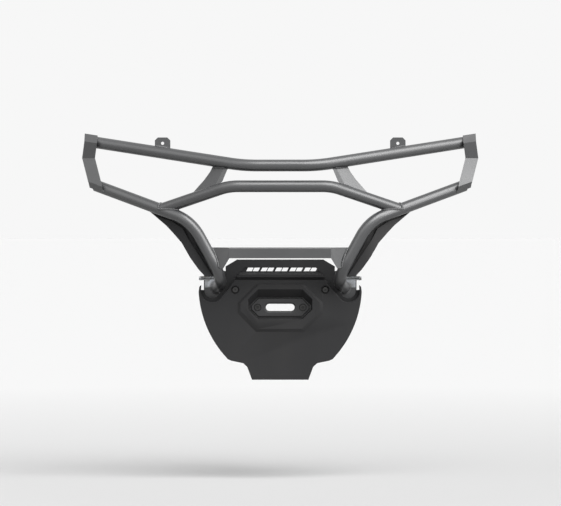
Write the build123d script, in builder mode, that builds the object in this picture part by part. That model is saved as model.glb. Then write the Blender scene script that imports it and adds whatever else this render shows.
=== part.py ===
"""Front bumper of a utility quad bike.

A bent-tube guard carries folded end plates, gussets and a cross plate. Its two feet end in
bolted flanges and hold a steel winch plate, a moulded vent panel, a moulded skid panel and
a fairlead. Millimetres. X points to the rider's left, Z up, and the bumper faces -Y, so a
depth is given as the distance forward of the flanges' rear faces.
"""

import os
from math import cos, radians, sin, sqrt

from build123d import *

os.makedirs("parts", exist_ok=True)

# Tube and sheet stock
tube_od = 32.0
tube_wall = 2.0
plate = 4.0
fold_share = 0.9
weld_gap = 0.2
fit_gap = 0.3

# Top rail: a level middle, and legs that rise and sweep back to the end plates
rail_bend = (99.0, -180.0, 335.0)
rail_end = (518.0, -21.0, 402.0)
rail_bend_r = 200.0

# Middle hoop: a level middle, and legs that drop to the side rails
hoop_bend = (139.0, -190.0, 279.0)
hoop_bend_r = 100.0
hoop_foot_x = 325.0

# Side rails: one tube from the end plate down to the foot
side_end = (505.0, -24.5, 282.0)
side_bend = (241.5, -150.0, 186.0)
foot_bend = (155.0, -150.0, 27.0)
foot_x = 177.0
side_bend_r = 110.0
foot_bend_r = 70.0

# Foot flanges, four bolt holes in all
flange_thick = 6.0
flange_width = 66.0
flange_height = 96.0
flange_corner_r = 12.0
flange_hole_pitch = 68.0
flange_hole_d = 10.5

# End plates: folded strips that wrap the fronts of both tube ends
strip_width = 36.0
strip_top = 17.0
strip_crown_fold = -3.0
strip_waist_x = 525.0
strip_waist_z = 357.0
strip_waist_set = 13.0
strip_chin_fold = 4.7
strip_return = 2.0
strip_chin_x = 506.0
strip_heel_x = 500.0

# Gussets between top rail and hoop: the fold's foot, its lean, and the two wings in plan
gusset_thick = 4.0
gusset_fold = (196.0, -170.0, 242.0)
gusset_lean = (-31.0, 2.0, 60.0)
gusset_inner_wing = (-60.0, -17.0)
gusset_outer_wing = (56.0, 38.0)

# Cross plate between the down tubes
cross_half = 137.0
cross_top = 114.0
cross_bottom = 85.0
cross_front = 172.0
cross_lip = 16.0
cross_wing_x = 196.0
cross_wing_set = 24.0
cross_tip = (154.0, 57.0)
cross_heel = (174.0, 61.0)
cross_over = 10.0

# Depths of the layers behind one another
carrier_back = 45.0
carrier_thick = 5.0
vent_depth = 15.8
skid_depth = 15.7
panel_wall = 3.5
carrier_front = carrier_back + carrier_thick
vent_back = carrier_front + fit_gap
vent_front = vent_back + vent_depth
skid_back = vent_front + fit_gap
skid_front = skid_back + skid_depth

# Fairlead and the recess around it
fairlead_z = -51.4
fairlead_half = 80.0
fairlead_half_height = 25.0
fairlead_chamfer = 20.0
fairlead_thick = 12.0
fairlead_bolt_x = 61.9
fairlead_slot = (78.5, 19.6)
fairlead_flare = 5.0
bolt_d = 10.0
bolt_clearance = 0.5
bolt_head_d = 16.0
bolt_head_h = 6.0
bolt_socket = 8.0
counterbore_d = 20.0
counterbore_depth = 7.0

# Skid panel screws
screw_x = 122.8
screw_z = -2.6
screw_d = 8.0
screw_head_d = 17.0
screw_head_h = 4.0
screw_recess_d = 23.0
screw_recess_depth = 6.0
post_d = 27.0

# Hooks of the vent panel, each round a foot tube, and the skid panel's notches, which lap over them
hook_set = (17.5, -16.4)
hook_r = 26.0
hook_width = 11.0
hook_slope = 51.8
hook_run = 48.5
hook_tip_angle = 5.0
notch_lap = 1.2

# Tube paths
rail_path = [(-rail_end[0], *rail_end[1:]), (-rail_bend[0], *rail_bend[1:]), rail_bend, rail_end]
foot_end = (foot_x, 0.0, 0.0)
side_path = [side_end, side_bend, foot_bend, foot_end]


def along(start, end, axis, value):
    """The point of the straight line from start to end where one coordinate has a given value."""
    share = (value - start[axis]) / (end[axis] - start[axis])
    return tuple(a + share * (b - a) for a, b in zip(start, end))


def rail_axis(x):
    """A point on the axis of the top rail's rising leg."""
    return along(rail_bend, rail_end, 0, x)


def side_axis(x):
    """A point on the axis of the side rail's outer leg."""
    return along(side_bend, side_end, 0, x)


def foot_axis(depth):
    """A point on the axis of the side rail's foot, forward of the flange."""
    return along(foot_end, foot_bend, 1, -depth)


hook_middle = foot_axis((vent_back + vent_front) / 2)
hook_x = hook_middle[0] + hook_set[0]
hook_z = hook_middle[2] + hook_set[1]


def hook_side(radius, run):
    """A point on a line that touches a circle round the hook's centre and climbs the hook's slope."""
    slope = radians(hook_slope)
    x = hook_x - radius * sin(slope) - run * cos(slope)
    z = hook_z - radius * cos(slope) + run * sin(slope)
    return (x, z)


hoop_foot = side_axis(hoop_foot_x)
hoop_path = [(-hoop_foot[0], *hoop_foot[1:]), (-hoop_bend[0], *hoop_bend[1:]), hoop_bend, hoop_foot]


def bent_rod(points, radii, radius):
    """A round bar along straight runs joined by tangent arcs."""
    with BuildPart() as rod:
        with BuildLine() as path:
            FilletPolyline(*points, radius=radii)
        with BuildSketch(Plane(origin=path.line @ 0, z_dir=path.line % 0)):
            Circle(radius)
        sweep()
    return rod.part


rail_radii = [rail_bend_r, rail_bend_r]
hoop_radii = [hoop_bend_r, hoop_bend_r]
side_radii = [side_bend_r, foot_bend_r]
tube_r = tube_od / 2
bore_r = tube_r - tube_wall
cope_r = tube_r + weld_gap

rail_cope = bent_rod(rail_path, rail_radii, cope_r)
hoop_cope = bent_rod(hoop_path, hoop_radii, cope_r)
side_cope = bent_rod(side_path, side_radii, cope_r)


# Top rail
with BuildPart() as top_rail:
    add(bent_rod(rail_path, rail_radii, tube_r))
    add(bent_rod(rail_path, rail_radii, bore_r), mode=Mode.SUBTRACT)
top_rail.part.label = "top_rail"
export_step(top_rail.part, "parts/top_rail.step")

# Middle hoop, both ends coped to the side rails
with BuildPart() as middle_hoop:
    add(bent_rod(hoop_path, hoop_radii, tube_r))
    add(bent_rod(hoop_path, hoop_radii, bore_r), mode=Mode.SUBTRACT)
    add(side_cope, mode=Mode.SUBTRACT)
    add(mirror(side_cope, about=Plane.YZ, mode=Mode.PRIVATE), mode=Mode.SUBTRACT)
middle_hoop.part.label = "middle_hoop"
export_step(middle_hoop.part, "parts/middle_hoop.step")

# Side rails, cut square to the flange at the foot
with BuildPart() as left_side_rail:
    add(bent_rod(side_path, side_radii, tube_r))
    add(bent_rod(side_path, side_radii, bore_r), mode=Mode.SUBTRACT)
    split(bisect_by=Plane.XZ.offset(flange_thick + weld_gap), keep=Keep.TOP)
left_side_rail.part.label = "left_side_rail"
export_step(left_side_rail.part, "parts/left_side_rail.step")

with BuildPart() as right_side_rail:
    mirror(left_side_rail.part, about=Plane.YZ)
right_side_rail.part.label = "right_side_rail"
export_step(right_side_rail.part, "parts/right_side_rail.step")

# Foot flanges
with BuildPart() as left_foot_flange:
    with BuildSketch(Plane.XZ):
        with Locations((foot_x, 0)):
            RectangleRounded(flange_width, flange_height, flange_corner_r)
            with GridLocations(0, flange_hole_pitch, 1, 2):
                Circle(flange_hole_d / 2, mode=Mode.SUBTRACT)
    extrude(amount=flange_thick)
left_foot_flange.part.label = "left_foot_flange"
export_step(left_foot_flange.part, "parts/left_foot_flange.step")

with BuildPart() as right_foot_flange:
    mirror(left_foot_flange.part, about=Plane.YZ)
right_foot_flange.part.label = "right_foot_flange"
export_step(right_foot_flange.part, "parts/right_foot_flange.step")

# Discs welded into the four outer tube ends
disc_thick = 3.0
with BuildPart() as rail_end_caps:
    for end, inner in ((rail_end, rail_bend), (side_end, side_bend)):
        outward = Vector(*end) - Vector(*inner)
        with BuildSketch(Plane(origin=end, z_dir=outward)):
            Circle(bore_r - weld_gap)
        extrude(amount=-disc_thick)
    mirror(about=Plane.YZ)
rail_end_caps.part.label = "rail_end_caps"
export_step(rail_end_caps.part, "parts/rail_end_caps.step")


def strip_section(x):
    """Back line of the end plate's folds at one X, as (Y, Z) points from the top down."""
    reach = cope_r / sqrt(2)
    rail_y, rail_z = rail_axis(x)[1:]
    side_y, side_z = side_axis(x)[1:]
    top = (rail_y - 2 * reach + strip_top, rail_z + strip_top)
    crown = (rail_y - 2 * reach + strip_crown_fold, rail_z + strip_crown_fold)
    waist = (rail_y - strip_waist_set, strip_waist_z)
    chin = (side_y - 2 * reach - strip_chin_fold, side_z + strip_chin_fold)
    heel = (side_y - reach - strip_return, side_z - reach + strip_return)
    return [top, crown, waist, chin, heel]


# End plates: the folds lofted between two sections, then cut to the strip's outline
strip_inner_x = 480.0
strip_outer_x = 550.0
with BuildPart() as left_end_plate:
    for x in (strip_inner_x, strip_outer_x):
        with BuildSketch(Plane.YZ.offset(x)):
            with BuildLine():
                folds = Polyline(*strip_section(x))
                offset(folds, amount=plate, side=Side.RIGHT, kind=Kind.INTERSECTION)
            make_face()
    loft(ruled=True)
    spine = [
        (rail_end[0], rail_end[2] + tube_od), (rail_end[0], rail_end[2]), (strip_waist_x, strip_waist_z),
        (strip_chin_x, side_end[2] + strip_chin_fold), (strip_heel_x, side_end[2] - tube_od)
    ]
    with BuildSketch(Plane.XZ):
        outer = [(x + strip_width / 2, z) for x, z in spine]
        inner = [(x - strip_width / 2, z) for x, z in reversed(spine)]
        Polygon(*outer, *inner, align=None)
    extrude(amount=-rail_bend[1], both=True, mode=Mode.INTERSECT)
    add(rail_cope, mode=Mode.SUBTRACT)
    add(side_cope, mode=Mode.SUBTRACT)
left_end_plate.part.label = "left_end_plate"
export_step(left_end_plate.part, "parts/left_end_plate.step")

with BuildPart() as right_end_plate:
    mirror(left_end_plate.part, about=Plane.YZ)
right_end_plate.part.label = "right_end_plate"
export_step(right_end_plate.part, "parts/right_end_plate.step")

# Gussets: a plate folded once, leaning back from the hoop to the top rail
gusset_outline = [
    (140.0, 331.0), (156.0, 292.0), (196.0, 262.0), (236.0, 246.0), (240.0, 258.0), (206.0, 296.0),
    (190.0, 318.0), (181.0, 336.0), (140.0, 340.0)
]
with BuildPart() as left_gusset:
    with BuildSketch(Plane.XY.offset(gusset_fold[2])):
        with BuildLine():
            fold_x, fold_y = gusset_fold[:2]
            inner = (fold_x + gusset_inner_wing[0], fold_y + gusset_inner_wing[1])
            outer = (fold_x + gusset_outer_wing[0], fold_y + gusset_outer_wing[1])
            plan = Polyline(inner, (fold_x, fold_y), outer)
            offset(plan, amount=gusset_thick, side=Side.LEFT, kind=Kind.INTERSECTION)
        make_face()
    extrude(amount=rail_end[2] - gusset_fold[2], dir=gusset_lean)
    with BuildSketch(Plane.XZ):
        Polygon(*gusset_outline, align=None)
    extrude(amount=-2 * hoop_bend[1], mode=Mode.INTERSECT)
    add(rail_cope, mode=Mode.SUBTRACT)
    add(hoop_cope, mode=Mode.SUBTRACT)
left_gusset.part.label = "left_gusset"
export_step(left_gusset.part, "parts/left_gusset.step")

with BuildPart() as right_gusset:
    mirror(left_gusset.part, about=Plane.YZ)
right_gusset.part.label = "right_gusset"
export_step(right_gusset.part, "parts/right_gusset.step")

# Cross plate: a face with a folded top lip, and two wings angled back to the down tubes
with BuildPart() as cross_plate:
    with BuildSketch(Plane.XY.offset(cross_tip[1])):
        with BuildLine():
            wing = (cross_wing_x, cross_wing_set - cross_front)
            face_end = (cross_half, -cross_front)
            plan = Polyline((-wing[0], wing[1]), (-face_end[0], face_end[1]), face_end, wing)
            offset(plan, amount=plate, side=Side.LEFT, kind=Kind.INTERSECTION)
        make_face()
    extrude(amount=cross_top - cross_tip[1])
    with BuildSketch(Plane.XZ):
        with BuildLine():
            Polyline(
                (0, cross_top), (cross_wing_x + cross_over, cross_top), cross_heel, cross_tip,
                (cross_half, cross_bottom), (0, cross_bottom), close=True
            )
        make_face()
        mirror(about=Plane.YZ)
    extrude(amount=2 * cross_front, mode=Mode.INTERSECT)
    with BuildSketch(Plane.XY.offset(cross_top)):
        with Locations((0, cross_lip / 2 - cross_front)):
            Rectangle(2 * cross_half - 2 * plate, cross_lip)
    extrude(amount=-plate)
    top_front = edges().filter_by(Axis.X).group_by(Axis.Z)[-1].sort_by(Axis.Y)[0]
    fillet(top_front, radius=plate * fold_share)
    add(side_cope, mode=Mode.SUBTRACT)
    add(mirror(side_cope, about=Plane.YZ, mode=Mode.PRIVATE), mode=Mode.SUBTRACT)
cross_plate.part.label = "cross_plate"
export_step(cross_plate.part, "parts/cross_plate.step")

# Winch plate: a steel sheet between the feet, with a stiffening fold along its lower edge
winch_top = 46.0
winch_bottom = -96.0
winch_inset = 7.0
winch_shoulder = 20.0
winch_waist_z = -8.0
winch_half_low = 108.0
winch_flange = 25.0
winch_flange_set = 5.0
rope_slot_clear = 6.0
with BuildPart() as winch_plate:
    with BuildSketch(Plane.XZ.offset(carrier_back)):
        with BuildLine():
            half = foot_x - winch_inset
            Polyline(
                (0, winch_top), (half - winch_shoulder, winch_top), (half, winch_top - winch_shoulder),
                (half, winch_waist_z), (winch_half_low, winch_bottom), (0, winch_bottom), close=True
            )
        make_face()
        mirror(about=Plane.YZ)
        with Locations((0, fairlead_z)):
            SlotOverall(fairlead_slot[0] + 2 * rope_slot_clear, fairlead_slot[1] + 2 * rope_slot_clear,
                        mode=Mode.SUBTRACT)
            with GridLocations(2 * fairlead_bolt_x, 0, 2, 1):
                Circle((bolt_d + bolt_clearance) / 2, mode=Mode.SUBTRACT)
        with Locations((-screw_x, screw_z), (screw_x, screw_z)):
            Circle((screw_d + bolt_clearance) / 2, mode=Mode.SUBTRACT)
    extrude(amount=carrier_thick)
    with BuildSketch(Plane.XY.offset(winch_bottom)):
        with Locations((0, winch_flange / 2 - carrier_front)):
            Rectangle(2 * (winch_half_low - winch_flange_set), winch_flange)
    extrude(amount=carrier_thick)
    fold = edges().filter_by(Axis.X).group_by(Axis.Z)[0].sort_by(Axis.Y)[0]
    fillet(fold, radius=carrier_thick * fold_share)
    add(side_cope, mode=Mode.SUBTRACT)
    add(mirror(side_cope, about=Plane.YZ, mode=Mode.PRIVATE), mode=Mode.SUBTRACT)
winch_plate.part.label = "winch_plate"
export_step(winch_plate.part, "parts/winch_plate.step")

# Side shields: thin mouldings behind the down tubes, with a raised outer band and a rib by the tube
shield_thick = 3.0
shield_front = -side_bend[1] - cope_r - fit_gap
shield_bend_r = 60.0
shield_set = 5.0
shield_top_x = 352.0
shield_heel = (170.0, 35.0)
shield_rise = 8.0
shield_rib = 6.0
shield_edge = [
    (358.0, 213.0), (310.0, 173.0), (290.0, 152.0), (267.0, 126.0), (244.0, 86.0), (221.0, 54.0),
    (203.0, 35.0)
]
band_edge = [
    (181.5, 35.0), (198.0, 59.0), (217.0, 88.0), (236.0, 116.0), (249.5, 137.0), (264.0, 165.0),
    (293.0, 184.0), (330.0, 196.0)
]
band_wall = (3.2, 2.4)
rib_outline = [(229.0, 121.0), (232.0, 121.0), (189.5, 53.0), (186.5, 53.0)]
rail_sweep = (side_end[1] - side_bend[1]) / (side_end[0] - side_bend[0])


def shield_slab(rise, outline):
    """A slab along the shield's bent plan, from its back to a rise before its face, cut to an outline."""
    with BuildPart() as slab:
        with BuildSketch(Plane.XY):
            for amount, side in ((shield_thick, Side.LEFT), (rise, Side.RIGHT)):
                if amount:
                    with BuildLine():
                        bend = (side_bend[0] + shield_thick, -shield_front)
                        tip_x = shield_top_x + tube_od
                        tip = (tip_x, shield_set - shield_front + rail_sweep * (tip_x - bend[0]))
                        start = (foot_bend[0], -shield_front)
                        plan = FilletPolyline(start, bend, tip, radius=shield_bend_r)
                        offset(plan, amount=amount, side=side)
                    make_face()
        extrude(amount=side_end[2])
        with BuildSketch(Plane.XZ):
            add(outline)
        extrude(amount=-side_bend[1] + tube_od, both=True, mode=Mode.INTERSECT)
    return slab.part


with BuildSketch() as shield_outline:
    side_line = [(p[0], p[2]) for p in (side_bend, side_axis(shield_top_x))]
    Polygon(*shield_edge, shield_heel, *side_line, align=None)
with BuildSketch() as band_outline:
    Polygon(*shield_edge, *band_edge, align=None)
with BuildSketch() as band_hollow:
    step_x, step_z = band_wall
    outer = [(x - step_x, z + step_z) for x, z in shield_edge[1:-1]]
    inner = [(x + step_x, z - step_z) for x, z in band_edge[1:-1]]
    Polygon(*outer, *inner, align=None)
with BuildSketch() as shield_rib_outline:
    Polygon(*rib_outline, align=None)

with BuildPart() as left_side_shield:
    add(shield_slab(0, shield_outline.sketch))
    add(shield_slab(shield_rise, band_outline.sketch))
    add(shield_slab(shield_rib, shield_rib_outline.sketch))
    add(shield_slab(shield_rise - shield_thick, band_hollow.sketch), mode=Mode.SUBTRACT)
    add(side_cope, mode=Mode.SUBTRACT)
left_side_shield.part.label = "left_side_shield"
export_step(left_side_shield.part, "parts/left_side_shield.step")

with BuildPart() as right_side_shield:
    mirror(left_side_shield.part, about=Plane.YZ)
right_side_shield.part.label = "right_side_shield"
export_step(right_side_shield.part, "parts/right_side_shield.step")

# Rack tabs: upright ears on the back of the top rail, one bolt hole each
tab_x = 320.0
tab_width = 42.0
tab_height = 42.0
tab_corner = 8.0
tab_set = 6.0
tab_hole_d = 8.5
tab_hole_rise = 26.0
tab_y, tab_z = rail_axis(tab_x)[1:]
with BuildPart() as left_rack_tab:
    with BuildSketch(Plane.XZ.offset(-tab_y - tab_set)):
        with Locations((tab_x, tab_z + tab_height / 2)):
            Rectangle(tab_width, tab_height)
        chamfer(vertices().group_by(Axis.Z)[-1], tab_corner)
        with Locations((tab_x, tab_z + tab_hole_rise)):
            Circle(tab_hole_d / 2, mode=Mode.SUBTRACT)
    extrude(amount=plate)
    add(rail_cope, mode=Mode.SUBTRACT)
left_rack_tab.part.label = "left_rack_tab"
export_step(left_rack_tab.part, "parts/left_rack_tab.step")

with BuildPart() as right_rack_tab:
    mirror(left_rack_tab.part, about=Plane.YZ)
right_rack_tab.part.label = "right_rack_tab"
export_step(right_rack_tab.part, "parts/right_rack_tab.step")


# Vent panel: a moulded arch with a mesh window, a ledge, and a hook round each foot tube
vent_top = 79.5
vent_half_top = 118.0
vent_side = 13.6
vent_shoulder = 61.0
window_top = 58.6
window_bottom = 40.0
window_half_top = 96.5
window_half_low = 113.8
ledge_top = 40.0
ledge_bottom = 30.0
ledge_half = 123.0
ledge_half_top = 113.0
ledge_depth = 8.0
ledge_draft = 8.0
post_clear = 1.1
vent_bottom = screw_z + post_d / 2 + post_clear
vent_half = hook_side(hook_r, hook_run)[0] + vent_side


def band(low_half, low, high_half, high):
    """Corner points of a level band with slanted ends, from its half width at its lower and upper edge."""
    return [(-low_half, low), (low_half, low), (high_half, high), (-high_half, high)]


with BuildPart() as vent_panel:
    with BuildSketch(Plane.XZ.offset(vent_back)) as arch:
        Polygon(
            (-vent_half, vent_bottom), (vent_half, vent_bottom), (vent_half, vent_shoulder),
            (vent_half_top, vent_top), (-vent_half_top, vent_top), (-vent_half, vent_shoulder), align=None
        )
    extrude(amount=vent_depth)
    with BuildSketch(Plane.XZ.offset(vent_back)):
        with BuildLine():
            Line(hook_side(hook_r, hook_run), hook_side(hook_r, 0))
            CenterArc((hook_x, hook_z), hook_r, 270 - hook_slope, 90 + hook_slope + hook_tip_angle)
        trace(line_width=hook_width)
        mirror(about=Plane.YZ)
    extrude(amount=vent_depth)
    with BuildSketch(Plane.XZ.offset(vent_back)):
        add(arch.sketch_local)
        offset(amount=-panel_wall, kind=Kind.INTERSECTION)
    extrude(amount=vent_depth - panel_wall, mode=Mode.SUBTRACT)
    with BuildSketch(Plane.XZ.offset(vent_front)):
        Polygon(*band(ledge_half, ledge_bottom, ledge_half_top, ledge_top), align=None)
    extrude(amount=ledge_depth, taper=ledge_draft)
    with BuildSketch(Plane.XZ.offset(vent_back)):
        Polygon(*band(window_half_low, window_bottom, window_half_top, window_top), align=None)
    extrude(amount=2 * vent_depth, mode=Mode.SUBTRACT)
vent_panel.part.label = "vent_panel"
export_step(vent_panel.part, "parts/vent_panel.step")

# Vent mesh: an insert behind the window, one row of slanted cells in pairs, open below
mesh_thick = 2.5
mesh_pitch = 39.2
mesh_pairs = 5
mesh_middle_x = 4.4
mesh_thin_web = 2.6
cell_width = 15.0
cell_height = 9.6
cell_slant = 5.0
cell_z = 52.6
mesh_lip = 4.0
mesh_low = 44.2
mesh_front = vent_front - panel_wall - fit_gap
with BuildPart() as vent_mesh:
    with BuildSketch(Plane.XZ.offset(mesh_front - mesh_thick)):
        mesh_top = window_top + mesh_lip
        with Locations((0, (mesh_top + mesh_low) / 2)):
            Rectangle(2 * (window_half_low + mesh_lip), mesh_top - mesh_low)
        for side in (-0.5, 0.5):
            with Locations((mesh_middle_x + side * (cell_width + mesh_thin_web), cell_z)):
                with GridLocations(mesh_pitch, 0, mesh_pairs, 1):
                    low = -cell_width / 2 - cell_slant / 2
                    high = low + cell_slant
                    Polygon(
                        (low, -cell_height / 2), (low + cell_width, -cell_height / 2),
                        (high + cell_width, cell_height / 2), (high, cell_height / 2),
                        align=None, mode=Mode.SUBTRACT
                    )
    extrude(amount=mesh_thick)
vent_mesh.part.label = "vent_mesh"
export_step(vent_mesh.part, "parts/vent_mesh.step")


def octagon(half_width, low, high, corner):
    """Corner points of a box with cut corners, from its half width and its lower and upper edge."""
    inner = half_width - corner
    right = [(inner, high), (half_width, high - corner), (half_width, low + corner), (inner, low)]
    return right + [(-x, z) for x, z in reversed(right)]


# Outline of the skid panel: a shield with a horn outside each hook
skid_top = 23.5
skid_bottom = -248.0
horn_tip = (213.0, 12.0)
horn_shoulder = (220.5, 6.0)
horn_foot = (222.5, -8.0)
skid_waist = (203.5, -96.5)
skid_hip = (157.0, -176.0)
skid_skirt = [(143.0, -192.0), (134.0, -196.0), (101.0, -203.0), (90.0, -213.0)]
tongue_half = 77.0
notch_r = hook_r + hook_width / 2 - notch_lap
horn_lean = 4.0
with BuildSketch() as skid_outline:
    with BuildLine():
        Polyline((0, skid_bottom), (0, skid_top), (hook_x, skid_top), horn_tip, horn_shoulder, horn_foot)
        ThreePointArc(horn_foot, skid_waist, skid_hip)
        Polyline(skid_hip, *skid_skirt, (tongue_half, skid_bottom), (0, skid_bottom))
    make_face()
    with Locations((hook_x, hook_z)):
        Circle(notch_r, mode=Mode.SUBTRACT)
    rise = skid_top - hook_z + tube_od
    Polygon(
        hook_side(notch_r, 0), hook_side(notch_r, rise), (hook_x + notch_r - horn_lean, skid_top + tube_od),
        (hook_x + notch_r, hook_z), align=None, mode=Mode.SUBTRACT
    )
    mirror(about=Plane.YZ)

# Skid panel: a moulded shield with a raised boss, a funnel round the fairlead and back ribs
boss_half = 108.0
boss_low = -109.0
boss_high = 12.0
boss_rise = 5.0
boss_corner = 50.0
boss_slope = 8.0
funnel_front = (87.5, -83.4, -1.0, 27.0)
funnel_floor = (84.0, -79.0, -24.0, 22.0)
throat = carrier_front + fairlead_thick + 2.0
boss_front = skid_front + boss_rise
rib_thick = 2.5
rib_depth = 9.0
rib_pitch = 100.0
rib_height = 70.0
rib_middle_z = -118.0
rib_rows = (-125.0, -175.0)
rib_length = 270.0
rim_chamfer = 1.5
with BuildPart() as skid_panel:
    with BuildSketch(Plane.XZ.offset(skid_back)):
        add(skid_outline.sketch)
    extrude(amount=skid_depth)
    front_rim = faces().sort_by(Axis.Y)[0].edges()
    chamfer(front_rim, length=rim_chamfer)
    for plane_offset, grow in ((skid_front, boss_slope), (boss_front, 0)):
        with BuildSketch(Plane.XZ.offset(plane_offset)):
            Polygon(*octagon(boss_half + grow, boss_low - grow, boss_high, boss_corner), align=None)
    loft(ruled=True)
    with BuildSketch(Plane.XZ.offset(skid_back)):
        add(skid_outline.sketch)
        trace(skid_outline.sketch.edges(), line_width=2 * panel_wall, mode=Mode.SUBTRACT)
    extrude(amount=skid_depth - panel_wall, mode=Mode.SUBTRACT)
    with BuildSketch(Plane.XZ.offset(skid_front - panel_wall)):
        inner = octagon(boss_half - panel_wall, boss_low + panel_wall, boss_high - panel_wall, boss_corner)
        Polygon(*inner, align=None)
    extrude(amount=boss_rise, mode=Mode.SUBTRACT)
    with BuildSketch(Plane.XZ.offset(skid_front - panel_wall - rib_depth)):
        with Locations((0, rib_middle_z)):
            with GridLocations(rib_pitch, 0, 4, 1):
                Rectangle(rib_thick, rib_height)
        for z in rib_rows:
            with Locations((0, z)):
                Rectangle(rib_length, rib_thick)
    extrude(amount=rib_depth)
    for wall in (panel_wall, 0.0):
        mode = Mode.ADD if wall else Mode.SUBTRACT
        start = carrier_front + fit_gap
        with BuildSketch(Plane.XZ.offset(start)):
            half, low, high, corner = funnel_floor
            Polygon(*octagon(half + wall, low - wall, high + wall, corner), align=None)
        extrude(amount=throat - start, mode=mode)
        with BuildSketch(Plane.XZ.offset(throat)):
            Polygon(*octagon(half + wall, low - wall, high + wall, corner), align=None)
        with BuildSketch(Plane.XZ.offset(boss_front)):
            half, low, high, corner = funnel_front
            Polygon(*octagon(half + wall, low - wall, high + wall, corner), align=None)
        loft(ruled=True, mode=mode)
    with BuildSketch(Plane.XZ.offset(carrier_front + fit_gap)):
        with Locations((-screw_x, screw_z), (screw_x, screw_z)):
            Circle(post_d / 2)
    extrude(amount=skid_front - panel_wall - carrier_front - fit_gap)
    with BuildSketch(Plane.XZ.offset(skid_front - screw_recess_depth)):
        with Locations((-screw_x, screw_z), (screw_x, screw_z)):
            Circle(screw_recess_d / 2)
    extrude(amount=screw_recess_depth, mode=Mode.SUBTRACT)
    with BuildSketch(Plane.XZ.offset(carrier_front)):
        with Locations((-screw_x, screw_z), (screw_x, screw_z)):
            Circle((screw_d + bolt_clearance) / 2)
    extrude(amount=skid_depth + vent_depth, mode=Mode.SUBTRACT)
skid_panel.part.label = "skid_panel"
export_step(skid_panel.part, "parts/skid_panel.step")

# Fairlead: an eight-sided block with a flared rope slot and two counterbored holes
with BuildPart() as fairlead:
    with BuildSketch(Plane.XZ.offset(carrier_front)):
        low = fairlead_z - fairlead_half_height
        high = fairlead_z + fairlead_half_height
        Polygon(*octagon(fairlead_half, low, high, fairlead_chamfer), align=None)
    extrude(amount=fairlead_thick)
    chamfer(faces().sort_by(Axis.Y)[0].edges(), length=rim_chamfer)
    with BuildSketch(Plane.XZ.offset(carrier_front)):
        with Locations((0, fairlead_z)):
            SlotOverall(*fairlead_slot)
    extrude(amount=fairlead_thick, mode=Mode.SUBTRACT)
    mouth = faces().sort_by(Axis.Y)[0].inner_wires()[0].edges()
    fillet(mouth, radius=fairlead_flare)
    with Locations(Plane.XZ.offset(carrier_front + fairlead_thick)):
        with Locations((-fairlead_bolt_x, fairlead_z), (fairlead_bolt_x, fairlead_z)):
            CounterBoreHole((bolt_d + bolt_clearance) / 2, counterbore_d / 2, counterbore_depth)
fairlead.part.label = "fairlead"
export_step(fairlead.part, "parts/fairlead.step")

# Fairlead bolts: socket heads seated in the counterbores
bolt_grip = fairlead_thick - counterbore_depth + carrier_thick
bolt_tail = 11.0
with BuildPart() as fairlead_bolts:
    for x in (-fairlead_bolt_x, fairlead_bolt_x):
        seat = Plane.XZ.offset(carrier_front + fairlead_thick - counterbore_depth)
        with BuildSketch(seat):
            with Locations((x, fairlead_z)):
                Circle(bolt_head_d / 2)
        extrude(amount=bolt_head_h)
        with BuildSketch(seat):
            with Locations((x, fairlead_z)):
                Circle(bolt_d / 2)
        extrude(amount=-(bolt_grip + bolt_tail))
        with BuildSketch(seat.offset(bolt_head_h)):
            with Locations((x, fairlead_z)):
                RegularPolygon(bolt_socket / 2, 6, major_radius=False)
        extrude(amount=-bolt_head_h / 2, mode=Mode.SUBTRACT)
fairlead_bolts.part.label = "fairlead_bolts"
export_step(fairlead_bolts.part, "parts/fairlead_bolts.step")

# Flange nuts behind the winch plate, bored to the bolt
nut_across = 16.0
nut_height = 9.0
nut_flange_d = 22.0
nut_flange_h = 2.0
thread_gap = 0.05
with BuildPart() as fairlead_nuts:
    for x in (-fairlead_bolt_x, fairlead_bolt_x):
        with BuildSketch(Plane.XZ.offset(carrier_back)):
            with Locations((x, fairlead_z)):
                Circle(nut_flange_d / 2)
        extrude(amount=-nut_flange_h)
        with BuildSketch(Plane.XZ.offset(carrier_back)):
            with Locations((x, fairlead_z)):
                RegularPolygon(nut_across / 2, 6, major_radius=False)
        extrude(amount=-nut_height)
        with BuildSketch(Plane.XZ.offset(carrier_back)):
            with Locations((x, fairlead_z)):
                Circle(bolt_d / 2 + thread_gap)
        extrude(amount=-nut_height, mode=Mode.SUBTRACT)
fairlead_nuts.part.label = "fairlead_nuts"
export_step(fairlead_nuts.part, "parts/fairlead_nuts.step")

# Panel screws: low round heads in the skid panel's recesses
screw_socket = 5.0
with BuildPart() as panel_screws:
    for x in (-screw_x, screw_x):
        seat = Plane.XZ.offset(skid_front - screw_recess_depth)
        with BuildSketch(seat):
            with Locations((x, screw_z)):
                Circle(screw_head_d / 2)
        extrude(amount=screw_head_h)
        chamfer(faces().sort_by(Axis.Y)[0].edges(), length=screw_head_h / 3)
        with BuildSketch(seat):
            with Locations((x, screw_z)):
                Circle(screw_d / 2)
        extrude(amount=-(skid_front - screw_recess_depth - carrier_back + bolt_tail))
        with BuildSketch(seat.offset(screw_head_h)):
            with Locations((x, screw_z)):
                RegularPolygon(screw_socket / 2, 6, major_radius=False)
        extrude(amount=-screw_head_h / 2, mode=Mode.SUBTRACT)
panel_screws.part.label = "panel_screws"
export_step(panel_screws.part, "parts/panel_screws.step")

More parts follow.
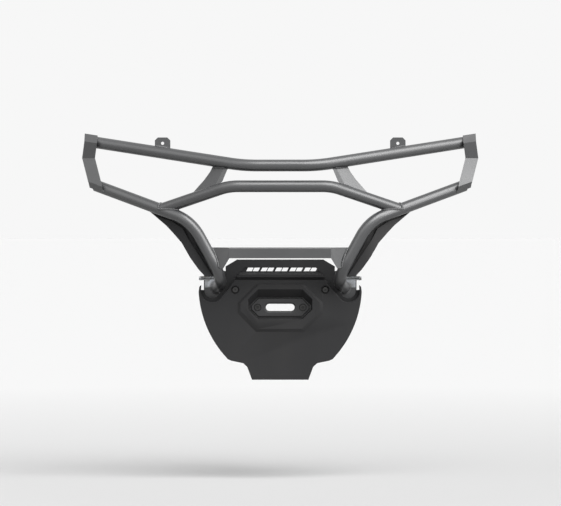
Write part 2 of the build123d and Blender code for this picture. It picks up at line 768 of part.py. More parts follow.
# Nuts of the panel screws, behind the winch plate
screw_nut_across = 13.0
screw_nut_height = 7.0
with BuildPart() as panel_nuts:
    for x in (-screw_x, screw_x):
        with BuildSketch(Plane.XZ.offset(carrier_back)):
            with Locations((x, screw_z)):
                RegularPolygon(screw_nut_across / 2, 6, major_radius=False)
                Circle(screw_d / 2 + thread_gap, mode=Mode.SUBTRACT)
        extrude(amount=-screw_nut_height)
panel_nuts.part.label = "panel_nuts"
export_step(panel_nuts.part, "parts/panel_nuts.step")

# Zinc tie brackets beside the feet: a face on the flange, and an ear that carries a level bolt
tie_thick = 3.0
tie_set = 3.0
tie_face = 27.0
tie_ear = 12.0
tie_inner_x = foot_x + tie_set
tie_face_x = tie_inner_x + tie_face
tie_ear_x = tie_face_x + tie_ear
tie_low = 2.0
tie_neck = 22.0
tie_top = 33.0
tie_reach = 34.0
tie_corner_r = 5.0
tie_bolt_d = 6.0
tie_bolt_z = 27.5
tie_bolt_back = 12.0
tie_spot = (tie_bolt_back - flange_thick - tie_reach, tie_bolt_z)
with BuildPart() as left_tie_bracket:
    with BuildSketch(Plane.XZ.offset(flange_thick)):
        Polygon(
            (tie_inner_x, tie_low), (tie_face_x, tie_low), (tie_face_x, tie_neck), (tie_ear_x, tie_neck),
            (tie_ear_x, tie_top), (tie_inner_x, tie_top), align=None
        )
        fillet(vertices().group_by(Axis.Z)[0].sort_by(Axis.X)[-1], tie_corner_r)
    extrude(amount=tie_thick)
    with BuildSketch(Plane.YZ.offset(tie_ear_x)):
        with Locations((-flange_thick - tie_reach / 2, (tie_neck + tie_top) / 2)):
            Rectangle(tie_reach, tie_top - tie_neck)
        fillet(vertices().group_by(Axis.Y)[0], tie_corner_r)
        with Locations(tie_spot):
            Circle((tie_bolt_d + bolt_clearance) / 2, mode=Mode.SUBTRACT)
    extrude(amount=-tie_thick)
    add(side_cope, mode=Mode.SUBTRACT)
left_tie_bracket.part.label = "left_tie_bracket"
export_step(left_tie_bracket.part, "parts/left_tie_bracket.step")

with BuildPart() as right_tie_bracket:
    mirror(left_tie_bracket.part, about=Plane.YZ)
right_tie_bracket.part.label = "right_tie_bracket"
export_step(right_tie_bracket.part, "parts/right_tie_bracket.step")

# Bolts of the tie brackets, heads outboard
tie_head_across = 10.0
tie_head_h = 4.0
tie_bolt_length = 40.0
with BuildPart() as tie_bolts:
    head_seat = Plane.YZ.offset(tie_ear_x)
    with BuildSketch(head_seat):
        with Locations(tie_spot):
            RegularPolygon(tie_head_across / 2, 6, major_radius=False)
    extrude(amount=tie_head_h)
    with BuildSketch(head_seat):
        with Locations(tie_spot):
            Circle(tie_bolt_d / 2)
    extrude(amount=-tie_bolt_length)
    mirror(about=Plane.YZ)
tie_bolts.part.label = "tie_bolts"
export_step(tie_bolts.part, "parts/tie_bolts.step")
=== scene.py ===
"""Looks of the quad bike front bumper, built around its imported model. Metres, Z up, front along -Y."""

import bmesh
import bpy
import numpy as np
from bpy.props import FloatProperty, FloatVectorProperty, IntProperty, PointerProperty
from bpy.types import NodeSocket, Operator, Panel, PropertyGroup
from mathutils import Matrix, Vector


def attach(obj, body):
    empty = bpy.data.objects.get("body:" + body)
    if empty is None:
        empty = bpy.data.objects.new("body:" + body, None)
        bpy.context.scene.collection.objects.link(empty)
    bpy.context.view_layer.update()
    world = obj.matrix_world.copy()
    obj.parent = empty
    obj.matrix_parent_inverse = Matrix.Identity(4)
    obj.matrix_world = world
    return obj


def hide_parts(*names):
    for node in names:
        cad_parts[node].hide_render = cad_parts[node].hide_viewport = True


bl_info = {
    "name": "Quad bike front bumper",
    "version": (1, 0, 0),
    "blender": (4, 5, 0),
    "location": "3D View > Sidebar > Bumper",
    "description": "Bent tubes, welded plates, moulded panels and fasteners of a front bumper",
    "category": "Object",
}

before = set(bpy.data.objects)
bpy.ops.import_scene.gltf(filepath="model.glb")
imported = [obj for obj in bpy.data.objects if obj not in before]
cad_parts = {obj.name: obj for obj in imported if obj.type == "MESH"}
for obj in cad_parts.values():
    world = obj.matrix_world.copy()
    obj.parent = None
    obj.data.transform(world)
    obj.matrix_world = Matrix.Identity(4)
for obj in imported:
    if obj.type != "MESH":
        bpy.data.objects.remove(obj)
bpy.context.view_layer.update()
BODY = "root"
MM = 0.001

# Tube axes, bend radii and fits as the part's source gives them, in millimetres
RAIL = np.array([(-518, -21, 402), (-99, -180, 335), (99, -180, 335), (518, -21, 402)], float)
SIDE = np.array([(505, -24.5, 282), (241.5, -150, 186), (155, -150, 27), (177, 0, 0)], float)
HOOP_BEND = np.array([139, -190, 279], float)
HOOP_FOOT_X = 325.0
RAIL_BEND_R = 200.0
HOOP_BEND_R = 100.0
SIDE_BEND_R = 110.0
FOOT_BEND_R = 70.0
FLANGE_THICK = 6.0
WELD_GAP = 0.2
MIRROR = np.array([-1.0, 1.0, 1.0])

# Degrees between the points of a bend, at most
BEND_STEP = 2.0


# Shapes worked out as arrays
def unit(v):
    """Each row divided by its own length."""
    return v / np.linalg.norm(v, axis=-1, keepdims=True)


def on_line(a, b, axis, value):
    """The point of line a-b where one coordinate has a value: a + (value - a_i) / (b_i - a_i) * (b - a)."""
    return a + (value - a[axis]) / (b[axis] - a[axis]) * (b - a)


def rounded_path(corners, radii):
    """Points along straight runs joined by tangent arcs.

    An arc of radius r that turns by angle t starts r * tan(t / 2) before its corner. Its points are
    centre + r * (sin(u) * d - cos(u) * i), for u from 0 to t, where d is the way in and i points inward.
    """
    parts = [corners[:1]]
    for before, corner, after, r in zip(corners, corners[1:], corners[2:], radii):
        d0, d1 = unit(corner - before), unit(after - corner)
        turn = np.arccos(np.clip(d0 @ d1, -1, 1))
        start = corner - d0 * r * np.tan(turn / 2)
        inward = unit(d1 - d0 * (d0 @ d1))
        u = np.linspace(0, turn, int(np.degrees(turn) / BEND_STEP) + 3)[:, None]
        parts.append(start + r * inward + r * (np.sin(u) * d0 - np.cos(u) * inward))
    parts.append(corners[-1:])
    return np.concatenate(parts)


def even(path, step, closed=False):
    """The same path with points at even distances, by linear interpolation over its length."""
    loop = np.concatenate([path, path[:1]]) if closed else path
    s = np.concatenate([[0], np.cumsum(np.linalg.norm(np.diff(loop, axis=0), axis=1))])
    count = max(8, int(s[-1] / step))
    at = np.linspace(0, s[-1], count, endpoint=not closed)
    return np.stack([np.interp(at, s, loop[:, i]) for i in range(3)], -1)


def tangents(path, closed=False):
    """Unit directions along a path: the sum of the unit steps that meet at each point."""
    if closed:
        steps = unit(np.roll(path, -1, 0) - path)
        return unit(steps + np.roll(steps, 1, 0))
    steps = unit(np.diff(path, axis=0))
    return unit(np.concatenate([steps[:1], steps[:-1] + steps[1:], steps[-1:]]))


def frames(path, closed=False):
    """Unit vectors t, n and b at each point: n = t x h and b = t x n.

    h is the direction that the tangents have least of, the last right singular vector of t.
    """
    t = tangents(path, closed)
    n = unit(np.cross(t, np.linalg.svd(t)[2][-1]))
    return t, n, np.cross(t, n)


def rings(path, radius, around, closed=False):
    """Circles carried along a path: path + r * (cos(a) * n + sin(a) * b).

    The radius r is one value, a value for each ring, or a value for each ring and angle.
    """
    t, n, b = frames(path, closed)
    a = np.linspace(0, 2 * np.pi, around, endpoint=False)[None, :, None]
    r = np.asarray(radius, float)
    r = r.reshape(r.shape + (1,) * (3 - r.ndim))
    return path[:, None] + r * (np.cos(a) * n[:, None] + np.sin(a) * b[:, None])


def meet(points, direction, start, end, radius):
    """Where lines from points along a direction first meet the cylinder round axis start-end.

    With the axis part taken out of point p and direction d, |p + t d| = r is a quadratic in t, and the
    smaller root is the near wall.
    """
    axis = unit(end - start)
    p = points - start
    d = np.broadcast_to(direction, p.shape)
    p = p - (p @ axis)[..., None] * axis
    flat = d - (d @ axis)[..., None] * axis
    a, b, c = (flat * flat).sum(-1), (p * flat).sum(-1), (p * p).sum(-1) - radius**2
    t = (-b - np.sqrt(np.maximum(b * b - a * c, 0))) / a
    return points + t[..., None] * d


def grid_faces(rows, cols, wrap_rows=False, wrap_cols=False):
    """Quads of a grid of points in row order, joined round where it wraps."""
    i = np.arange(rows if wrap_rows else rows - 1)[:, None]
    j = np.arange(cols if wrap_cols else cols - 1)[None, :]
    k, m = (i + 1) % rows, (j + 1) % cols
    return np.stack([i * cols + j, i * cols + m, k * cols + m, k * cols + j], -1).reshape(-1, 4)


def outward(points, faces):
    """The faces turned so that the enclosed volume, the sum of a . (b x c) / 6, is positive."""
    a, b, c, d = (points.reshape(-1, 3)[faces[:, i]] for i in range(4))
    volume = (a * np.cross(b, c)).sum() + (a * np.cross(c, d)).sum()
    return faces if volume > 0 else faces[:, ::-1]


def loop_of_rings(grid):
    """A closed skin from rings in order, the last of which joins the first."""
    return grid, outward(grid, grid_faces(*grid.shape[:2], wrap_rows=True, wrap_cols=True))


def solid_of_rings(grid):
    """A closed solid from rings in order: the grid's quads, and a fan to the middle of each end ring."""
    rows, cols = grid.shape[:2]
    first, last = grid[0].mean(0)[None, None], grid[-1].mean(0)[None, None]
    full = np.concatenate([np.repeat(first, cols, 1), grid, np.repeat(last, cols, 1)])
    return full, outward(full, grid_faces(rows + 2, cols, wrap_cols=True))


def both_sides(meshes):
    """The same meshes and their mirror images in the plane X = 0, with the mirrored faces turned round."""
    return meshes + [(points * MIRROR, faces[:, ::-1]) for points, faces in meshes]


def joined(meshes):
    """Several (points, faces) as one, each with its face numbers moved up by the points before it."""
    points = [p.reshape(-1, 3) for p, faces in meshes]
    starts = np.cumsum([0] + [len(p) for p in points[:-1]])
    return np.concatenate(points), np.concatenate([faces + n for (p, faces), n in zip(meshes, starts)])


# Meshes and objects
def mesh_points(mesh):
    """The vertices of a mesh as an array in millimetres."""
    points = np.empty(3 * len(mesh.vertices))
    mesh.vertices.foreach_get("co", points)
    return points.reshape(-1, 3) / MM


def clean(mesh, distance, flat_angle=None):
    """Merges points closer than a distance, and joins faces of one plane where an angle is given."""
    bm = bmesh.new()
    bm.from_mesh(mesh)
    bmesh.ops.remove_doubles(bm, verts=bm.verts, dist=distance)
    bmesh.ops.dissolve_degenerate(bm, edges=bm.edges, dist=distance)
    if flat_angle is not None:
        bmesh.ops.dissolve_limit(
            bm, verts=bm.verts, edges=bm.edges, angle_limit=np.radians(flat_angle), delimit={"NORMAL"}
        )
    bm.to_mesh(mesh)
    bm.free()


def shade(mesh, angle):
    """Smooth shading, with a crease at edges sharper than an angle in degrees."""
    mesh.polygons.foreach_set("use_smooth", [True] * len(mesh.polygons))
    mesh.set_sharp_from_angle(angle=np.radians(angle))


def piece_of(name, mesh, slot, replaces=()):
    """An object in its slot's finish that rides on the body and stands for the CAD nodes given."""
    mesh.materials.clear()
    mesh.materials.append(material(slot))
    piece = bpy.data.objects.new(name, mesh)
    bpy.context.scene.collection.objects.link(piece)
    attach(piece, BODY)
    if replaces:
        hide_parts(*replaces)
    return piece


# Metres between points that count as one, and degrees from which an edge stays sharp
SURFACE_MERGE = 1e-6
SURFACE_CREASE = 40.0


def place(name, points, faces, slot, replaces=(), merge=True):
    """Makes a piece from points in millimetres and faces, with points that coincide merged if asked."""
    mesh = bpy.data.meshes.new(name)
    mesh.from_pydata((points.reshape(-1, 3) * MM).tolist(), [], faces.tolist())
    if merge:
        clean(mesh, SURFACE_MERGE)
    mesh.validate()
    shade(mesh, SURFACE_CREASE)
    return piece_of(name, mesh, slot, replaces)


# The same for a CAD mesh, then degrees within which faces are one plane and from which an edge is rounded
CAD_MERGE = 2e-6
CAD_CREASE = 14.0
CAD_FLAT = 0.6
ROUND_FROM = 30.0


def softened(node, name, slot, width):
    """A copy of a CAD node with its edges rounded by a live bevel, which stands for the node."""
    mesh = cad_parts[node].data.copy()
    mesh.name = name
    clean(mesh, CAD_MERGE, CAD_FLAT)
    shade(mesh, CAD_CREASE)
    piece = piece_of(name, mesh, slot, [node])
    bevel = piece.modifiers.new("Soft edges", "BEVEL")
    bevel.width = width * MM
    bevel.segments = 2
    bevel.limit_method = "ANGLE"
    bevel.angle_limit = np.radians(ROUND_FROM)
    bevel.use_clamp_overlap = True
    bevel.harden_normals = True
    return piece


# Materials
class Tree:
    """The node tree of a material or a world, with short calls that add a node and join it."""

    def __init__(self, owner):
        owner.use_nodes = True
        self.nodes = owner.node_tree.nodes
        self.links = owner.node_tree.links

    def put(self, node, inputs):
        """Sets a node's inputs by name or number, or links them where a value is another node's output."""
        for key, value in inputs.items():
            if isinstance(value, NodeSocket):
                self.links.new(value, node.inputs[key])
            else:
                node.inputs[key].default_value = value

    def add(self, kind, inputs, **settings):
        """A node with its settings and its inputs."""
        node = self.nodes.new(kind)
        for key, value in settings.items():
            setattr(node, key, value)
        self.put(node, inputs)
        return node

    def remap(self, value, low, high, to_low, to_high):
        """A value moved from one range to another and held inside it."""
        inputs = {"Value": value, "From Min": low, "From Max": high, "To Min": to_low, "To Max": to_high}
        return self.add("ShaderNodeMapRange", inputs).outputs[0]

    def blend(self, share, first, second):
        """Two colours mixed by a share."""
        return self.add("ShaderNodeMix", {0: share, 6: first, 7: second}, data_type="RGBA").outputs[2]

    def plus(self, first, second):
        """The sum of two values."""
        return self.add("ShaderNodeMath", {0: first, 1: second}, operation="ADD").outputs[0]

    def seen_ray(self):
        """1 for rays from the camera and for rays that gloss or glass sends on, 0 for diffuse bounces."""
        ray = self.add("ShaderNodeLightPath", {}).outputs
        mirrored = self.plus(ray["Is Glossy Ray"], ray["Is Transmission Ray"])
        total = self.plus(ray["Is Camera Ray"], mirrored)
        return self.add("ShaderNodeClamp", {"Value": total}).outputs[0]


class Shader(Tree):
    """A material on Object coordinates, round one principled surface."""

    def __init__(self, name):
        self.material = bpy.data.materials.new(name)
        super().__init__(self.material)
        self.surface = self.nodes["Principled BSDF"]
        self.coords = self.add("ShaderNodeTexCoord", {}).outputs["Object"]

    def noise(self, scale, detail, roughness=0.5, stretch=None):
        """Noise on Object coordinates, with its scale per metre."""
        coords = self.coords
        if stretch:
            coords = self.add("ShaderNodeMapping", {"Vector": coords, "Scale": stretch}).outputs[0]
        inputs = {"Vector": coords, "Scale": scale, "Detail": detail, "Roughness": roughness}
        return self.add("ShaderNodeTexNoise", inputs).outputs["Fac"]

    def pointiness(self, low, high, to_low, to_high):
        """The mesh's pointiness, 0.5 on a flat face, higher on outer edges and lower in sunk corners."""
        point = self.add("ShaderNodeNewGeometry", {}).outputs["Pointiness"]
        return self.remap(point, low, high, to_low, to_high)

    def worn(self, tone, low, high, share, bare):
        """A tone that gives way to a share of the bare colour on outer edges."""
        return self.blend(self.pointiness(low, high, 0.0, share), tone, bare)

    def finish(self, colour, roughness, heights=(), **fixed):
        """Joins colour, roughness and a chain of (height, distance in mm, strength) bumps to the surface."""
        skin = {}
        for height, distance, strength in heights:
            inputs = {"Height": height, "Distance": distance * MM, "Strength": strength}
            skin = {"Normal": self.add("ShaderNodeBump", {**inputs, **skin}).outputs[0]}
        plain = {key.replace("_", " "): value for key, value in fixed.items()}
        self.put(self.surface, {"Base Color": colour, "Roughness": roughness, **skin, **plain})
        return self.material


def grey(level, warmth=0.0):
    """A neutral colour, made slightly warmer or cooler."""
    return (level * (1 + warmth), level, level * (1 - warmth), 1.0)


def opaque(colour, gain=1.0):
    """A colour setting as a full colour, made lighter by a gain."""
    return (*(gain * c for c in colour), 1.0)


def powder_coat(settings):
    """Gun-metal satin powder coat: orange-peel skin, fine flake, thin dust in patches and worn edges."""
    s = Shader("powder_coat")
    colour, rough = settings.coat_colour, settings.coat_roughness
    flake = s.noise(2600.0, detail=2.0)
    patch = s.noise(9.0, detail=4.0)
    peel = s.noise(420.0, detail=2.0)
    tone = s.blend(s.remap(flake, 0.45, 0.7, 0.0, 0.3), opaque(colour), opaque(colour, 1.7))
    tone = s.blend(s.remap(patch, 0.52, 0.8, 0.0, 0.14), tone, grey(0.12, 0.03))
    tone = s.worn(tone, 0.56, 0.66, 0.12, grey(0.24))
    rough = s.remap(patch, 0.3, 0.75, rough - 0.03, rough + 0.07)
    rough = s.plus(rough, s.remap(flake, 0.4, 0.7, 0.0, 0.04))
    heights = [(peel, 0.006, 0.4), (flake, 0.0005, 0.25)]
    return s.finish(tone, rough, heights, Metallic=settings.coat_metal, Specular_IOR_Level=1.0)


def moulded_black(settings):
    """Matt black moulded plastic: a leathery grain, faint flow marks, and pale scuffs on the edges."""
    s = Shader("moulded_black")
    colour, rough = settings.plastic_colour, settings.plastic_roughness
    cells = s.add("ShaderNodeTexVoronoi", {"Vector": s.coords, "Scale": 900.0}, feature="SMOOTH_F1")
    fine = s.noise(1500.0, detail=3.0)
    patch = s.noise(7.0, detail=5.0)
    flow = s.noise(5.0, detail=2.0, stretch=(1.0, 1.0, 0.3))
    tone = s.blend(s.remap(patch, 0.45, 0.8, 0.0, 0.45), opaque(colour), opaque(colour, 1.5))
    tone = s.blend(s.remap(flow, 0.5, 0.75, 0.0, 0.2), tone, grey(0.06, 0.05))
    tone = s.worn(tone, 0.56, 0.68, 0.3, grey(0.11))
    rough = s.remap(patch, 0.3, 0.75, rough - 0.05, rough + 0.06)
    heights = [(cells.outputs["Distance"], 0.06, 0.55), (fine, 0.02, 0.5)]
    return s.finish(tone, rough, heights, Specular_IOR_Level=0.3)


def fairlead_coat(settings):
    """Black satin cast finish: a slight casting grain, uneven tone, and edges rubbed pale by the rope."""
    s = Shader("fairlead_coat")
    colour = settings.fairlead_colour
    cast = s.noise(700.0, detail=4.0, roughness=0.6)
    patch = s.noise(14.0, detail=3.0)
    tone = s.blend(s.remap(patch, 0.4, 0.75, 0.0, 0.5), opaque(colour), opaque(colour, 1.6))
    tone = s.worn(tone, 0.54, 0.66, 0.45, grey(0.18))
    rough = s.remap(cast, 0.35, 0.7, 0.38, 0.5)
    return s.finish(tone, rough, [(cast, 0.05, 0.5)], Specular_IOR_Level=0.5)


def black_steel(settings):
    """Black-oxide steel: dark, faint brown cast, turned marks, rubbed edges, sockets painted black as shade.
    """
    s = Shader("black_steel")
    turned = s.noise(1200.0, detail=2.0, stretch=(1.0, 4.0, 1.0))
    patch = s.noise(60.0, detail=3.0)
    tone = s.blend(s.remap(patch, 0.4, 0.7, 0.0, 0.6), grey(0.035), grey(0.06, 0.03))
    tone = s.worn(tone, 0.6, 0.75, 0.25, grey(0.2))
    # Painted shade: sunk corners such as the socket recesses are darkened to near black where pointiness is
    # low
    tone = s.blend(s.pointiness(0.36, 0.48, 1.0, 0.0), tone, grey(0.004))
    rough = s.remap(turned, 0.3, 0.7, 0.34, 0.48)
    return s.finish(tone, rough, [(turned, 0.02, 0.4)], Metallic=0.55)


def zinc_plate(settings):
    """Bright zinc plating: a blue-white metal with faint yellow patches, light grain and dull spots."""
    s = Shader("zinc_plate")
    patch = s.noise(70.0, detail=3.0)
    spots = s.noise(420.0, detail=2.0)
    tone = s.blend(s.remap(patch, 0.35, 0.65, 0.0, 1.0), (0.46, 0.48, 0.51, 1.0), (0.2, 0.195, 0.18, 1.0))
    tone = s.blend(s.remap(spots, 0.55, 0.75, 0.0, 0.5), tone, grey(0.16))
    rough = s.remap(patch, 0.3, 0.7, 0.26, 0.42)
    return s.finish(tone, rough, [(spots, 0.01, 0.3)], Metallic=1.0)


FINISHES = {
    "powder_coat": powder_coat, "moulded_black": moulded_black, "fairlead_coat": fairlead_coat,
    "black_steel": black_steel, "zinc_plate": zinc_plate,
}
MADE = {}


def material(slot):
    """The material of a slot, made once from the finish settings."""
    if slot not in MADE:
        MADE[slot] = FINISHES[slot](bpy.context.scene.bumper_finish)
    return MADE[slot]


# Settings that a user would change
class FinishSettings(PropertyGroup):
    """Colours and roughness of the finishes."""

    coat_colour: FloatVectorProperty(
        name="Powder coat", description="Base colour of the tubes and plates",
        default=(0.046, 0.047, 0.049), min=0.0, max=1.0, subtype="COLOR",
    )
    coat_roughness: FloatProperty(
        name="Powder coat roughness", description="Mean roughness of the powder coat",
        default=0.32, min=0.05, max=1.0, subtype="FACTOR",
    )
    coat_metal: FloatProperty(
        name="Powder coat metal", description="Share of metal flake in the powder coat",
        default=0.0, min=0.0, max=1.0, subtype="FACTOR",
    )
    plastic_colour: FloatVectorProperty(
        name="Moulded plastic", description="Base colour of the moulded panels",
        default=(0.02, 0.02, 0.021), min=0.0, max=1.0, subtype="COLOR",
    )
    plastic_roughness: FloatProperty(
        name="Moulded plastic roughness", description="Mean roughness of the moulded panels",
        default=0.6, min=0.05, max=1.0, subtype="FACTOR",
    )
    fairlead_colour: FloatVectorProperty(
        name="Fairlead", description="Base colour of the fairlead",
        default=(0.025, 0.025, 0.026), min=0.0, max=1.0, subtype="COLOR",
    )


class TubeSettings(PropertyGroup):
    """Sizes of the bent tubes."""

    diameter: FloatProperty(
        name="Tube diameter", description="Outside diameter of the tubes",
        default=0.032, min=0.02, max=0.05, unit="LENGTH",
    )
    wall: FloatProperty(
        name="Tube wall", description="Wall thickness of the tubes",
        default=0.002, min=0.001, max=0.004, unit="LENGTH",
    )
    around: IntProperty(
        name="Faces around", description="Faces round one tube", default=72, min=24, max=128,
    )


class WeldSettings(PropertyGroup):
    """Sizes of the weld beads."""

    bead: FloatProperty(
        name="Bead radius", description="Radius of a structural weld bead",
        default=0.0031, min=0.001, max=0.006, unit="LENGTH",
    )
    pitch: FloatProperty(
        name="Ripple pitch", description="Distance between the ripples of a bead",
        default=0.0023, min=0.001, max=0.006, unit="LENGTH",
    )


class EdgeSettings(PropertyGroup):
    """Edge radii of plates and mouldings."""

    plate: FloatProperty(
        name="Plate edge", description="Edge radius of the coated steel plates",
        default=0.0007, min=0.0001, max=0.0015, unit="LENGTH",
    )
    moulding: FloatProperty(
        name="Moulding edge", description="Edge radius of the moulded panels",
        default=0.0008, min=0.0001, max=0.0015, unit="LENGTH",
    )


class StageSettings(PropertyGroup):
    """Floor, light and camera."""

    floor_height: FloatProperty(
        name="Floor height", description="Height of the floor from the mounting holes",
        default=-0.527, unit="LENGTH",
    )
    # Painted shade: the floor is greyer under the object, a painted shadow that also darkens what the
    # undersides reflect
    floor_shade_near: FloatProperty(
        name="Floor near", description="Grey of the floor under the object",
        default=0.73, min=0.0, max=1.0, subtype="FACTOR",
    )
    floor_far: FloatProperty(
        name="Floor far", description="Grey of the floor some metres away",
        default=0.87, min=0.0, max=1.0, subtype="FACTOR",
    )
    paper: FloatProperty(
        name="Paper", description="Strength of the pale paper round the object, where 1 is white",
        default=0.93, min=0.0, max=1.0, subtype="FACTOR",
    )
    room: FloatProperty(
        name="Room light", description="Strength of the light that comes from all round",
        default=0.06, min=0.0, max=1.0, subtype="FACTOR",
    )
    camera_offset: FloatProperty(
        name="Camera offset", description="Distance of the camera to the right of the middle",
        default=0.0008, unit="LENGTH",
    )
    camera_distance: FloatProperty(
        name="Camera distance", description="Distance from the mounting face to the camera",
        default=8.775, unit="LENGTH",
    )
    camera_height: FloatProperty(
        name="Camera height", description="Height of the camera above the mounting holes",
        default=0.234, unit="LENGTH",
    )
    camera_tilt: FloatProperty(
        name="Camera tilt", description="Downward tilt of the camera",
        default=0.01567, subtype="ANGLE",
    )
    lens: FloatProperty(
        name="Lens", description="Focal length in millimetres on a 36 mm sensor", default=204.7,
    )


# Tubes
def hoop_corners():
    """Corners of the hoop's axis, which ends on the axis of each side rail."""
    foot = on_line(SIDE[1], SIDE[0], 0, HOOP_FOOT_X)
    return np.array([foot * MIRROR, HOOP_BEND * MIRROR, HOOP_BEND, foot])


def axes():
    """The axes of the top rail, the hoop, and the left side rail from its end plate to its flange."""
    return {
        "rail": rounded_path(RAIL, [RAIL_BEND_R] * 2),
        "hoop": rounded_path(hoop_corners(), [HOOP_BEND_R] * 2),
        "side": rounded_path(SIDE, [SIDE_BEND_R, FOOT_BEND_R]),
    }


def cut_back(rows, cut):
    """Moves the points of a straight run that lie past a cut back along the run onto it."""
    way = unit(rows[0].mean(0) - rows[-1].mean(0))
    edge = cut(rows[-1], way)
    rows[...] = np.where((((rows - edge) @ way) > 0)[..., None], edge, rows)


def onto_tube(start, end, radius):
    """A cut that ends a tube on the near wall of a tube round axis start-end."""
    return lambda points, way: meet(points, way, start, end, radius)


def onto_level(level):
    """A cut that ends a tube in the plane Y = level."""
    return lambda points, way: points + ((level - points[..., 1:2]) / way[1]) * way


# Millimetres between the rings of a tube, and how many rings at an end a cut may reach
RING_STEP = 6.0
CUT_RINGS = 12


def walled_tube(path, outer, inner, around, first_cut=None, last_cut=None):
    """A tube wall: outer rings along the path, then inner rings back, joined at both ends.

    A cut is a function that sends points along a direction onto the surface that ends the tube.
    """
    skins = []
    for radius in (outer, inner):
        skin = rings(even(path, RING_STEP), radius, around)
        if first_cut:
            cut_back(skin[:CUT_RINGS], first_cut)
        if last_cut:
            cut_back(skin[: -CUT_RINGS - 1 : -1], last_cut)
        skins.append(skin)
    return loop_of_rings(np.concatenate([skins[0], skins[1][::-1]]))


class BUMPER_OT_tubes(Operator):
    """Builds the top rail, the middle hoop and the two side rails as bent tube walls"""

    bl_idname = "bumper.tubes"
    bl_label = "Bent tubes"

    def execute(self, context):
        tube = context.scene.bumper_tubes
        outer = tube.diameter / MM / 2
        stock = (outer, outer - tube.wall / MM, tube.around)
        axis = axes()
        foot = onto_level(-FLANGE_THICK - WELD_GAP)
        copes = [onto_tube(*(SIDE[:2] * side), outer + WELD_GAP) for side in (MIRROR, 1.0)]
        left = walled_tube(axis["side"], *stock, last_cut=foot)
        right = both_sides([left])[1]
        place("rail_tube", *walled_tube(axis["rail"], *stock), "powder_coat", ["top_rail"])
        place("left_side_tube", *left, "powder_coat", ["left_side_rail"])
        place("right_side_tube", *right, "powder_coat", ["right_side_rail"])
        place("hoop_tube", *walled_tube(axis["hoop"], *stock, *copes), "powder_coat", ["middle_hoop"])
        return {"FINISHED"}


# CAD nodes of the plates and the mouldings
PLATES = (
    "left_end_plate", "right_end_plate", "left_gusset", "right_gusset", "cross_plate",
    "left_foot_flange", "right_foot_flange", "winch_plate", "left_rack_tab", "right_rack_tab",
)
MOULDINGS = ("vent_panel", "vent_mesh", "skid_panel", "left_side_shield", "right_side_shield")

# Edge radii that aren't a setting, in millimetres
DISC_EDGE = 0.4
MESH_EDGE = 0.35
FAIRLEAD_EDGE = 0.6
FASTENER_EDGE = 0.3


class BUMPER_OT_plates(Operator):
    """Rounds the edges of the coated steel plates and the tube end discs"""

    bl_idname = "bumper.plates"
    bl_label = "Folded plates"

    def execute(self, context):
        for node in PLATES:
            softened(node, node + "_coated", "powder_coat", context.scene.bumper_edges.plate / MM)
        softened("rail_end_caps", "rail_end_discs", "powder_coat", DISC_EDGE)
        return {"FINISHED"}


class BUMPER_OT_mouldings(Operator):
    """Rounds the edges of the moulded panels, with a smaller radius on the slender mesh"""

    bl_idname = "bumper.mouldings"
    bl_label = "Moulded panels"

    def execute(self, context):
        width = context.scene.bumper_edges.moulding / MM
        for node in MOULDINGS:
            softened(node, node + "_moulded", "moulded_black", MESH_EDGE if node == "vent_mesh" else width)
        return {"FINISHED"}


class BUMPER_OT_fairlead(Operator):
    """Rounds the edges of the fairlead"""

    bl_idname = "bumper.fairlead"
    bl_label = "Fairlead"

    def execute(self, context):
        softened("fairlead", "fairlead_block", "fairlead_coat", FAIRLEAD_EDGE)
        return {"FINISHED"}


# Slot, last word of the name, and CAD nodes of the fasteners
FASTENERS = (
    ("black_steel", "finished", ("fairlead_bolts", "fairlead_nuts", "panel_screws", "panel_nuts")),
    ("zinc_plate", "plated", ("left_tie_bracket", "right_tie_bracket", "tie_bolts")),
)

# CAD node, slot, radius, pitch, start and end of each thread on the left side, in millimetres
THREADS = (
    ("fairlead_bolts", "black_steel", 5.0, 1.5, (61.9, -44.5, -51.4), (61.9, -34.0, -51.4)),
    ("panel_screws", "black_steel", 4.0, 1.25, (122.8, -44.5, -2.6), (122.8, -34.0, -2.6)),
    ("tie_bolts", "zinc_plate", 3.0, 1.0, (217.0, -28.0, 27.5), (179.0, -28.0, 27.5)),
)

# Depth of a thread as a share of its pitch, rings in one pitch, and points round a ring
THREAD_DEPTH = 0.6
THREAD_RINGS = 8
THREAD_AROUND = 40

# Share of its radius to which the plain shank under a thread is drawn in, and the millimetres by which
# a point of the shank may lie off that radius
ROOT_SHARE = 0.75
SHANK_SLACK = 0.05


def threaded(radius, pitch, start, end):
    """A thread from start to end: the radius at distance s along and angle a round is r - d * |2 f - 1|.

    f is the fractional part of s / pitch - a / (2 pi), d is the depth, and the ends are chamfered by
    cutting the radius back to r - d over the last pitch.
    """
    length = np.linalg.norm(end - start)
    s = np.linspace(0, length, max(3, int(length / pitch * THREAD_RINGS)))
    turn = np.linspace(0, 1, THREAD_AROUND, endpoint=False)
    f = (s[:, None] / pitch - turn[None]) % 1
    depth = THREAD_DEPTH * pitch
    lead = np.clip(np.minimum(s, length - s) / pitch, 0, 1)[:, None]
    size = radius - depth + depth * (1 - np.abs(2 * f - 1)) * lead
    path = start + s[:, None] / length * (end - start)
    return solid_of_rings(rings(path, size, THREAD_AROUND))


def draw_in(mesh, start, end, radius):
    """Draws the shank's rings, which lie at a radius from axis start-end, in to a share of that radius."""
    p = mesh_points(mesh)
    way = unit(end - start)
    out = p - start
    out = out - (out @ way)[:, None] * way
    ring = np.abs(np.linalg.norm(out, axis=1) - radius) < SHANK_SLACK
    p[ring] -= (1 - ROOT_SHARE) * out[ring]
    mesh.vertices.foreach_set("co", (p * MM).ravel())
    mesh.update()


